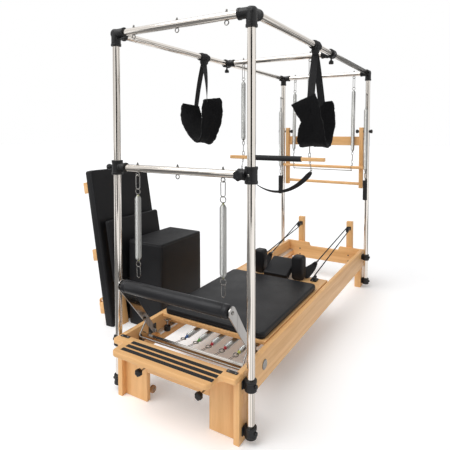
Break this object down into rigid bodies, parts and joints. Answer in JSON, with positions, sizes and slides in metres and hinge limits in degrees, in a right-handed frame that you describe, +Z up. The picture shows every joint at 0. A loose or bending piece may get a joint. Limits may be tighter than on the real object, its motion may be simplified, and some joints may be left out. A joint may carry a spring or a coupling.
{
  "type": "combo pilates reformer",
  "caption": "Wooden sliding-carriage exercise bed under a tubular canopy frame, with springs, trapeze, loops, footbar and padded boards and box set beside it.",
  "frame": {"origin": "on the floor, at the middle of the whole set's footprint, beside the bed's left rail", "axes": "+Z up, +Y along the bed from the foot end to the head end, +X across it toward the right rail"},
  "size_m": [1.8532, 2.6352, 2.029],
  "materials": {
    "wood": "clear lacquered light hardwood",
    "steel": "brushed",
    "springs": "grey spring wire",
    "plastic": "black, satin",
    "upholstery": "black vinyl, satin",
    "fleece": "black pile",
    "rope": "black braid"
  },
  "bodies": {
    "bed_and_canopy": {"rail_left": "wood", "rail_right": "wood", "foot_platform": "wood", "foot_leg_left": "wood", "foot_leg_right": "wood", "foot_apron": "wood", "head_board": "wood", "head_leg_left": "wood", "head_leg_right": "wood", "riser_left": "wood", "riser_right": "wood", "rope_left": "rope", "rope_right": "rope", "spring_bar": "steel", "bed_spring_1": "springs", "bed_spring_2": "springs", "bed_spring_3": "springs", "bed_spring_4": "springs", "bed_spring_5": "springs", "post_front_left": "steel", "post_front_right": "steel", "post_back_left": "steel", "post_back_right": "steel", "top_tube_front": "steel", "top_tube_back": "steel", "top_tube_left": "steel", "top_tube_right": "steel"},
    "carriage": {"carriage_board": "wood", "carriage_pad": "upholstery", "shoulder_rest_left": "upholstery", "shoulder_rest_right": "upholstery"},
    "headrest": {"headrest": "upholstery"},
    "footbar": {"footbar_frame": "steel", "footbar_roller": "upholstery"},
    "footbar_strut": {"footbar_strut": "steel"},
    "low_crossbar": {"low_crossbar": "steel"},
    "mid_crossbar": {"mid_crossbar": "steel"},
    "trapeze": {"trapeze_spring_left": "springs", "trapeze_spring_right": "springs", "trapeze_bar": "wood", "trapeze_strap": "rope"},
    "roll_down": {"roll_down_bar": "wood", "back_spring_left": "springs", "back_spring_right": "springs"},
    "push_through_frame": {"push_through_frame": "wood"},
    "mat_board": {"mat_board": "upholstery"},
    "jumpboard": {"jumpboard": "upholstery"},
    "sitting_box": {"sitting_box": "upholstery"},
    "pulley_left": {"pulley_left": "plastic"},
    "front_spring_left": {"front_spring_left": "springs"},
    "side_spring_left": {"side_spring_left": "springs"},
    "fleece_loop_left": {"fleece_loop_left": "fleece"},
    "carriage_wheel_front_left": {"carriage_wheel_front_left": "plastic"},
    "carriage_wheel_back_left": {"carriage_wheel_back_left": "plastic"},
    "pulley_right": {"pulley_right": "plastic"},
    "front_spring_right": {"front_spring_right": "springs"},
    "side_spring_right": {"side_spring_right": "springs"},
    "fleece_loop_right": {"fleece_loop_right": "fleece"},
    "carriage_wheel_front_right": {"carriage_wheel_front_right": "plastic"},
    "carriage_wheel_back_right": {"carriage_wheel_back_right": "plastic"}
  },
  "joints": [
    {"name": "carriage_travel", "type": "slide", "parent": "bed_and_canopy", "child": "carriage", "axis": [0, 1, 0], "range_m": [0, 0.9], "deforming": ["rope_left", "rope_right", "bed_spring_1", "bed_spring_2", "bed_spring_3", "bed_spring_4", "bed_spring_5"]},
    {"name": "headrest_tilt", "type": "hinge", "parent": "carriage", "child": "headrest", "pos_m": [0.38571, 0.07735, 0.3423], "axis": [1, 0, 0], "range_deg": [-18, 12]},
    {"name": "footbar_angle", "type": "hinge", "parent": "bed_and_canopy", "child": "footbar", "pos_m": [0.38571, -0.91565, 0.264], "axis": [1, 0, 0], "range_deg": [0, 22]},
    {"name": "footbar_strut_fold", "type": "hinge", "parent": "footbar", "child": "footbar_strut", "pos_m": [0.38571, -0.99769, 0.37447], "axis": [1, 0, 0], "range_deg": [-22, 0]},
    {"name": "low_crossbar_height", "type": "slide", "parent": "bed_and_canopy", "child": "low_crossbar", "axis": [0, 0, 1], "range_m": [-0.08, 0.45]},
    {"name": "mid_crossbar_travel", "type": "slide", "parent": "bed_and_canopy", "child": "mid_crossbar", "axis": [0, 1, 0], "range_m": [-0.05, 0.55]},
    {"name": "trapeze_swing", "type": "hinge", "parent": "mid_crossbar", "child": "trapeze", "pos_m": [0.38571, 0.06235, 1.959], "axis": [1, 0, 0], "range_deg": [-10, 10]},
    {"name": "roll_down_swing", "type": "hinge", "parent": "bed_and_canopy", "child": "roll_down", "pos_m": [0.38571, 1.20035, 1.959], "axis": [1, 0, 0], "range_deg": [-15, 0]},
    {"name": "push_through_swing", "type": "hinge", "parent": "bed_and_canopy", "child": "push_through_frame", "pos_m": [0.38571, 1.20035, 1.463], "axis": [1, 0, 0], "range_deg": [0, 85]},
    {"name": "mat_board_lift", "type": "slide", "parent": "bed_and_canopy", "child": "mat_board", "axis": [-0.1754, 0, 0.9845], "range_m": [0, 0.5]},
    {"name": "jumpboard_lift", "type": "slide", "parent": "bed_and_canopy", "child": "jumpboard", "axis": [0, 0, 1], "range_m": [0, 0.5]},
    {"name": "sitting_box_lift", "type": "slide", "parent": "bed_and_canopy", "child": "sitting_box", "axis": [0, 0, 1], "range_m": [0, 0.5]},
    {"name": "pulley_left_spin", "type": "hinge", "parent": "bed_and_canopy", "child": "pulley_left", "pos_m": [0.13971, 1.20265, 0.519], "axis": [1, 0, 0], "continuous": true},
    {"name": "front_spring_left_swing", "type": "hinge", "parent": "low_crossbar", "child": "front_spring_left", "pos_m": [0.11571, -1.13565, 1.222], "axis": [1, 0, 0], "range_deg": [0, 30]},
    {"name": "side_spring_left_swing", "type": "hinge", "parent": "bed_and_canopy", "child": "side_spring_left", "pos_m": [-0.03529, 1.13235, 1.791], "axis": [0, 1, 0], "range_deg": [0, 20]},
    {"name": "fleece_loop_left_swing", "type": "hinge", "parent": "bed_and_canopy", "child": "fleece_loop_left", "pos_m": [-0.03529, -0.26765, 2], "axis": [0, 1, 0], "range_deg": [-12, 12]},
    {"name": "carriage_wheel_front_left_roll", "type": "hinge", "parent": "carriage", "child": "carriage_wheel_front_left", "pos_m": [0.05021, -0.71765, 0.2753], "axis": [1, 0, 0], "continuous": true},
    {"name": "carriage_wheel_back_left_roll", "type": "hinge", "parent": "carriage", "child": "carriage_wheel_back_left", "pos_m": [0.05021, 0.14235, 0.2753], "axis": [1, 0, 0], "continuous": true},
    {"name": "pulley_right_spin", "type": "hinge", "parent": "bed_and_canopy", "child": "pulley_right", "pos_m": [0.63171, 1.20265, 0.519], "axis": [1, 0, 0], "continuous": true},
    {"name": "front_spring_right_swing", "type": "hinge", "parent": "low_crossbar", "child": "front_spring_right", "pos_m": [0.65571, -1.13565, 1.222], "axis": [1, 0, 0], "range_deg": [0, 30]},
    {"name": "side_spring_right_swing", "type": "hinge", "parent": "bed_and_canopy", "child": "side_spring_right", "pos_m": [0.80671, 1.13235, 1.791], "axis": [0, -1, 0], "range_deg": [0, 20]},
    {"name": "fleece_loop_right_swing", "type": "hinge", "parent": "bed_and_canopy", "child": "fleece_loop_right", "pos_m": [0.80671, -0.26765, 2], "axis": [0, 1, 0], "range_deg": [-12, 12]},
    {"name": "carriage_wheel_front_right_roll", "type": "hinge", "parent": "carriage", "child": "carriage_wheel_front_right", "pos_m": [0.72121, -0.71765, 0.2753], "axis": [1, 0, 0], "continuous": true},
    {"name": "carriage_wheel_back_right_roll", "type": "hinge", "parent": "carriage", "child": "carriage_wheel_back_right", "pos_m": [0.72121, 0.14235, 0.2753], "axis": [1, 0, 0], "continuous": true}
  ],
  "couplings": [
    {"joint": "footbar_strut_fold", "follows": "footbar_angle", "ratio": -1},
    {"joint": "pulley_left_spin", "follows": "carriage_travel", "rad_per_m": 40.323},
    {"joint": "carriage_wheel_front_left_roll", "follows": "carriage_travel", "rad_per_m": -33.333},
    {"joint": "carriage_wheel_back_left_roll", "follows": "carriage_travel", "rad_per_m": -33.333},
    {"joint": "pulley_right_spin", "follows": "carriage_travel", "rad_per_m": 40.323},
    {"joint": "carriage_wheel_front_right_roll", "follows": "carriage_travel", "rad_per_m": -33.333},
    {"joint": "carriage_wheel_back_right_roll", "follows": "carriage_travel", "rad_per_m": -33.333}
  ]
}
